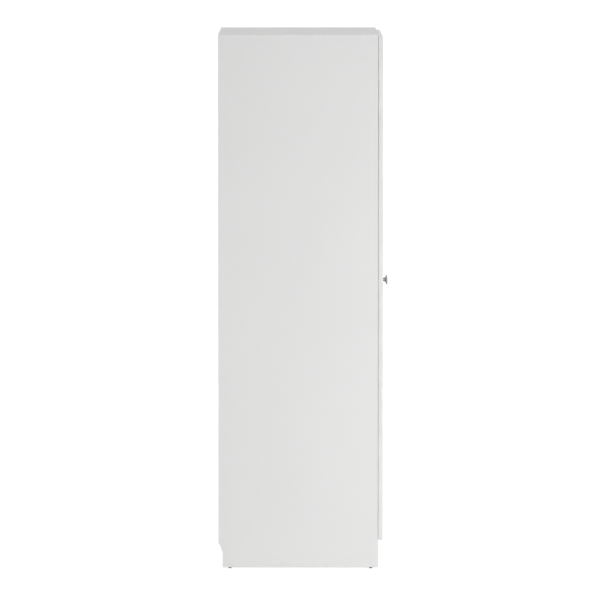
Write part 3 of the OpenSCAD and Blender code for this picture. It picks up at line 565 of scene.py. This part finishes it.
REAR_CUT, FLOOR_CUT = (Y, 1), (Z, -1)
FINISH = {
    "top_board": coated_board("top_board", [REAR_CUT]),
    "bottom_board": coated_board("bottom_board", [REAR_CUT]),
    "plinth_board": coated_board("plinth_board", [FLOOR_CUT], scuffed=True),
    "hat_shelf": coated_board("hat_shelf", [REAR_CUT]),
    "back_joining_strip": BACK_STRIP,
    "upright_edging": CABINET_STRIP, "level_edging": CABINET_STRIP,
    "shelf_studs": STUD_STEEL,
    "clothes_rail": RAIL_CHROME, "rail_sockets": SOCKET_CHROME, "rail_socket_screws": SCREW_STEEL,
    "cam_locks": CAST_ZINC, "cam_bolts": BOLT_STEEL, "wooden_dowels": BEECH,
    "glides": GLIDE_PLASTIC, "door_bumpers": BUMPER,
    "wall_brackets": BRACKET_STEEL, "wall_bracket_screws": SCREW_STEEL,
}
for side in SIDES:
    side_board, door_board = side + "_side_board", side + "_door_board"
    FINISH.update({
        side_board: coated_board(side_board, [REAR_CUT, FLOOR_CUT], scuffed=True),
        side + "_back_leaf": BACK,
        door_board: coated_board(door_board, tint=DOOR_WHITE),
        side + "_door_long_edging": DOOR_STRIP[side], side + "_door_short_edging": DOOR_STRIP[side],
        side + "_knob": KNOB_METAL[side], side + "_knob_screw": SCREW_STEEL,
        side + "_hinge_plates": CAST_ZINC, side + "_plate_screws": SCREW_STEEL,
        side + "_hinge_arms": HINGE_STEEL, side + "_arm_screws": SCREW_STEEL,
        side + "_arm_pins": PIN_STEEL, side + "_cup_pins": PIN_STEEL,
        side + "_hinge_cups": HINGE_STEEL, side + "_cup_screws": SCREW_STEEL,
        side + "_inner_links": HINGE_STEEL, side + "_outer_links": HINGE_STEEL,
    })
for name, material in FINISH.items():
    nodes[name].data.materials.clear()
    nodes[name].data.materials.append(material)


# ---- Fine pieces

MERGE_REACH = 0.000004      # metres
FLAT_ANGLE = 0.6            # degrees: faces closer to one plane than this become one face
EASED_ANGLE = 35            # degrees: sharper edges are eased
EASED_STEPS = 2
EASED_SMOOTH = 40           # degrees
STRIP_ROUND = 0.5 * MM      # on the outer long edges of the doors' edging
STRIP_STEPS = 4
PIECE_SMOOTH = 30           # degrees
TOUCHING = 1e-6             # metres


def clear_selection():
    bpy.ops.object.select_all(action="DESELECT")


def make_active(piece):
    clear_selection()
    piece.select_set(True)
    bpy.context.view_layer.objects.active = piece


def settle(piece):
    """Places the piece in its mesh, with its object at the origin."""
    make_active(piece)
    bpy.ops.object.transform_apply(location=True, rotation=True, scale=True)


def smoothed(degrees):
    bpy.ops.object.shade_smooth_by_angle(angle=math.radians(degrees))


def dress(piece, name, body, material):
    piece.name = name
    piece.data.name = name
    piece.data.materials.clear()
    piece.data.materials.append(material)
    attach(piece, body)


def mark_round_borders(mesh):
    """Marks the borders of the rounds sharp, so that flat faces shade flat.

    The rounds come as a second material, which ends here.
    """
    parts_at = {}
    for face in mesh.polygons:
        for key in face.edge_keys:
            parts_at.setdefault(key, set()).add(face.material_index)
        face.material_index = 0
    for edge in mesh.edges:
        if len(parts_at.get(edge.key, ())) > 1:
            edge.use_edge_sharp = True


def eased_copy(name, width):
    """A merged copy of a CAD piece, its sharp edges eased by a small round."""
    clear_selection()
    piece = nodes[name].copy()
    piece.data = nodes[name].data.copy()
    piece.parent = None
    for key in list(piece.keys()):
        del piece[key]
    bpy.context.scene.collection.objects.link(piece)
    make_active(piece)
    bpy.ops.object.mode_set(mode="EDIT")
    bpy.ops.mesh.select_all(action="SELECT")
    bpy.ops.mesh.remove_doubles(threshold=MERGE_REACH)
    bpy.ops.mesh.dissolve_limited(angle_limit=math.radians(FLAT_ANGLE))
    bpy.ops.object.mode_set(mode="OBJECT")
    while len(piece.data.materials) < 2:
        piece.data.materials.append(FINISH[name])
    bevel = piece.modifiers.new("eased_edges", "BEVEL")
    bevel.width = width
    bevel.segments = EASED_STEPS
    bevel.limit_method = "ANGLE"
    bevel.angle_limit = math.radians(EASED_ANGLE)
    bevel.material = 1
    bpy.ops.object.modifier_apply(modifier="eased_edges")
    smoothed(EASED_SMOOTH)
    mark_round_borders(piece.data)
    dress(piece, "eased_" + name, nodes[name]["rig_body"], FINISH[name])
    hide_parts(name)


def choose_edges(piece, test):
    """Goes into edit mode with the edges selected whose two ends pass the test."""
    make_active(piece)
    bpy.ops.object.mode_set(mode="EDIT")
    bpy.ops.mesh.select_mode(type="EDGE")
    bpy.ops.mesh.select_all(action="DESELECT")
    bpy.ops.object.mode_set(mode="OBJECT")
    vertices = piece.data.vertices
    for edge in piece.data.edges:
        edge.select = test(*(vertices[index].co for index in edge.vertices))
    bpy.ops.object.mode_set(mode="EDIT")


def block(low, high):
    """A cube primitive stretched between two corners."""
    clear_selection()
    low, high = Vector(low), Vector(high)
    bpy.ops.mesh.primitive_cube_add(size=1, location=(low + high) / 2)
    piece = bpy.context.object
    piece.scale = high - low
    settle(piece)
    return piece


def rounded_strip(low, high, outward):
    """One edging strip, with the long edges of its outer face rounded."""
    piece = block(low, high)
    axis = max(range(3), key=lambda i: abs(outward[i]))
    longest = max(range(3), key=lambda i: high[i] - low[i])
    face_at = high[axis] if outward[axis] > 0 else low[axis]

    def long_outer(start, end):
        off_face = abs(start[axis] - face_at) + abs(end[axis] - face_at)
        return off_face < TOUCHING < abs(start[longest] - end[longest])

    choose_edges(piece, long_outer)
    bpy.ops.mesh.bevel(offset=STRIP_ROUND, offset_type="OFFSET",
                       segments=STRIP_STEPS, affect="EDGES")
    bpy.ops.object.mode_set(mode="OBJECT")
    smoothed(PIECE_SMOOTH)
    return piece


def joined(pieces):
    clear_selection()
    for piece in pieces:
        piece.select_set(True)
    bpy.context.view_layer.objects.active = pieces[0]
    bpy.ops.object.join()
    return bpy.context.object


def door_edging(side):
    """The four strips round a door: the two long ones, and the two short ones between them."""
    core_low, core_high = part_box(side + "_door_board")
    low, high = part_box(side + "_door_long_edging")
    piece = joined([rounded_strip(low, (core_low[X], high[Y], high[Z]), (-1, 0, 0)),
                    rounded_strip((core_high[X], low[Y], low[Z]), high, (1, 0, 0))])
    dress(piece, side + "_door_long_strips", side + "_door", DOOR_STRIP[side])
    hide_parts(side + "_door_long_edging")
    low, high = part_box(side + "_door_short_edging")
    piece = joined([rounded_strip(low, (high[X], high[Y], core_low[Z]), (0, 0, -1)),
                    rounded_strip((low[X], low[Y], core_high[Z]), high, (0, 0, 1))])
    dress(piece, side + "_door_short_strips", side + "_door", DOOR_STRIP[side])
    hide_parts(side + "_door_short_edging")


def turned(foot, way, rings, sides):
    """A piece drawn up from a disc, ring by ring: rings are (radius, height along way) in mm."""
    clear_selection()
    foot, way = Vector(foot), Vector(way)
    radius, height = rings[0]
    turn = Vector((0, 0, 1)).rotation_difference(way).to_euler()
    bpy.ops.mesh.primitive_circle_add(vertices=sides, radius=radius * MM, fill_type="NGON",
                                      location=foot, rotation=turn)
    piece = bpy.context.object
    bpy.ops.object.mode_set(mode="EDIT")
    bpy.ops.mesh.select_mode(type="FACE")
    bpy.ops.mesh.select_all(action="SELECT")
    for new_radius, new_height in rings[1:]:
        # The way is along one axis, and a ring grows along the other two
        step = way * (new_height - height) * MM
        bpy.ops.mesh.extrude_region_move(TRANSFORM_OT_translate={"value": step})
        grow = new_radius / radius
        bpy.ops.transform.resize(value=[1 if abs(part) > 0.5 else grow for part in way],
                                 center_override=foot + way * new_height * MM)
        radius, height = new_radius, new_height
    bpy.ops.mesh.select_all(action="SELECT")
    bpy.ops.mesh.normals_make_consistent(inside=False)
    bpy.ops.object.mode_set(mode="OBJECT")
    settle(piece)
    smoothed(PIECE_SMOOTH)
    return piece


def quarter(radius, height, rim_round, start, end, count=6):
    """Rings round a rim, from one angle to another, about a centre at that radius and height."""
    angles = [math.radians(start + (end - start) * step / count) for step in range(count + 1)]
    return [(radius + rim_round * math.cos(angle), height + rim_round * math.sin(angle))
            for angle in angles]


# The knob, in millimetres. Its stem's rings: radius, and distance from the door
KNOB_STEM = [(3.6, 0), (4.0, 0.3), (4.0, 0.9), (3.75, 1.25), (3.4, 1.9), (3.12, 3.2), (3.0, 5.0),
             (3.0, 8.0), (3.15, 10.0), (3.6, 11.8), (4.4, 13.2), (5.6, 14.3), (7.2, 15.1)]
KNOB_DISC = 5.5                  # thickness of the disc
KNOB_RIM = 1.1                   # round of its rim
KNOB_UNDERSIDE = (8.6, 0.05)     # radius, and how far before the disc's back
KNOB_GROOVE = [(1.9, 0), (2.15, 0.15), (2.5, 0.2)]    # distance in from the rim, and depth
KNOB_DISH = [(0.6, 0.3), (0.3, 0.36)]                 # share of the radius, and depth
KNOB_CENTRE = (0.2, 0.38)                             # radius, and depth
KNOB_SIDES = 96                  # corners of each ring


def make_knob(side):
    low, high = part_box(side + "_knob")
    reach = (high[Y] - low[Y]) / MM
    disc_r = (high[X] - low[X]) / 2 / MM
    back = reach - KNOB_DISC
    rim_r = disc_r - KNOB_RIM
    rings = KNOB_STEM + [(KNOB_UNDERSIDE[0], back - KNOB_UNDERSIDE[1])]
    rings += quarter(rim_r, back + KNOB_RIM, KNOB_RIM, -90, 0)
    rings += quarter(rim_r, reach - KNOB_RIM, KNOB_RIM, 0, 90)
    rings += [(disc_r - inset, reach - depth) for inset, depth in KNOB_GROOVE]
    rings += [(disc_r * share, reach - depth) for share, depth in KNOB_DISH]
    rings += [(KNOB_CENTRE[0], reach - KNOB_CENTRE[1])]
    piece = turned(knob_foot(side), (0, -1, 0), rings, KNOB_SIDES)
    dress(piece, side + "_turned_knob", side + "_door", KNOB_METAL[side])
    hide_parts(side + "_knob")


for side in SIDES:
    door_edging(side)
    make_knob(side)

# Width of the eased edges, in millimetres
EASED = {
    "left_side_board": 0.25, "right_side_board": 0.25, "top_board": 0.3, "bottom_board": 0.3,
    "plinth_board": 0.3, "hat_shelf": 0.3, "upright_edging": 0.2, "level_edging": 0.35,
    "shelf_studs": 0.15, "rail_sockets": 0.35, "clothes_rail": 0.15, "cam_locks": 0.25,
    "glides": 0.25, "wall_brackets": 0.3, "back_joining_strip": 0.25,
}
for side in SIDES:
    EASED.update({
        side + "_hinge_plates": 0.35, side + "_hinge_arms": 0.3, side + "_hinge_cups": 0.2,
        side + "_inner_links": 0.25, side + "_outer_links": 0.2, side + "_knob_screw": 0.15,
        side + "_plate_screws": 0.12, side + "_arm_screws": 0.15, side + "_cup_screws": 0.1,
    })
for name, width in EASED.items():
    eased_copy(name, width * MM)


# ---- Studio

# Levels at which a colour renders about as it is written, with a white background
SKY_LEVEL = (0.57, 0.57, 0.57, 1)      # what lights the object
SKY_SEEN = (1, 1, 1, 1)                # what the picture shows
FLOOR_PAINT = (0.8, 0.8, 0.8, 1)       # what lights the object from below
FLOOR_SEEN = (0.2, 0.2, 0.2, 1)        # keeps the shadow in the picture
FLOOR_GLOW = 0.9                       # and this brings it near white
FLOOR_SIZE = 300                       # metres

# Soft boxes: place, aim, width and height, watts, and spread in degrees
SOFT_BOXES = {
    "near_side_box": ((-4.4, -3.9, 0.45), (0, -0.3, 0.35), (3.4, 0.8), 78, 180),
    "low_side_box": ((-3.4, -2.9, 0.45), (-0.45, -0.45, 0.2), (1.6, 0.8), 15, 120),
    "front_box": ((0.9, -6.5, 0.9), (0, 0, 0.9), (4.0, 1.6), 18, 180),
    "back_box": ((1.9, 6.5, 0.9), (0, 0, 0.9), (4.0, 1.6), 60, 180),
    "right_box": ((6.5, -1.5, 0.9), (0, 0, 0.9), (4.0, 1.6), 75, 180),
}


def seen_rays(tree):
    """1 for rays that show the background itself, in the picture, in metal or through glass."""
    path = tree.nodes.new("ShaderNodeLightPath").outputs
    mirrored = maths(tree, "MAXIMUM", path["Is Glossy Ray"], path["Is Transmission Ray"])
    return maths(tree, "MAXIMUM", path["Is Camera Ray"], mirrored)


def make_world():
    world = bpy.data.worlds.new("studio")
    bpy.context.scene.world = world
    world.use_nodes = True
    tree = world.node_tree
    background = tree.nodes["Background"].inputs
    feed(tree, blended(tree, seen_rays(tree), SKY_LEVEL, SKY_SEEN), background["Color"])
    background["Strength"].default_value = 1.0


def make_floor():
    clear_selection()
    bpy.ops.mesh.primitive_plane_add(size=FLOOR_SIZE, location=(0, 0, 0))
    floor = bpy.context.object
    floor.name = "studio_floor"
    material, tree, shader = new_material("floor_paint")
    seen = seen_rays(tree)
    feed(tree, blended(tree, seen, FLOOR_PAINT, FLOOR_SEEN), shader.inputs["Base Color"])
    shader.inputs["Roughness"].default_value = 0.9
    shader.inputs["Specular IOR Level"].default_value = 0.1
    glow = tree.nodes.new("ShaderNodeEmission")
    feed(tree, times(tree, seen, FLOOR_GLOW), glow.inputs["Strength"])
    both = tree.nodes.new("ShaderNodeAddShader")
    feed(tree, shader.outputs[0], both.inputs[0])
    feed(tree, glow.outputs[0], both.inputs[1])
    feed(tree, both.outputs[0], tree.nodes["Material Output"].inputs["Surface"])
    floor.data.materials.append(material)


def add_soft_box(name, place, aim, size, power, width):
    bpy.ops.object.light_add(type="AREA", location=place)
    light = bpy.context.object
    light.name = name
    light.data.shape = "RECTANGLE"
    light.data.size, light.data.size_y = size
    light.data.energy = power
    light.data.spread = math.radians(width)
    light.rotation_euler = (Vector(aim) - Vector(place)).to_track_quat("-Z", "Y").to_euler()


make_world()
make_floor()
for name, values in SOFT_BOXES.items():
    add_soft_box(name, *values)

bpy.context.scene.view_settings.view_transform = "Standard"
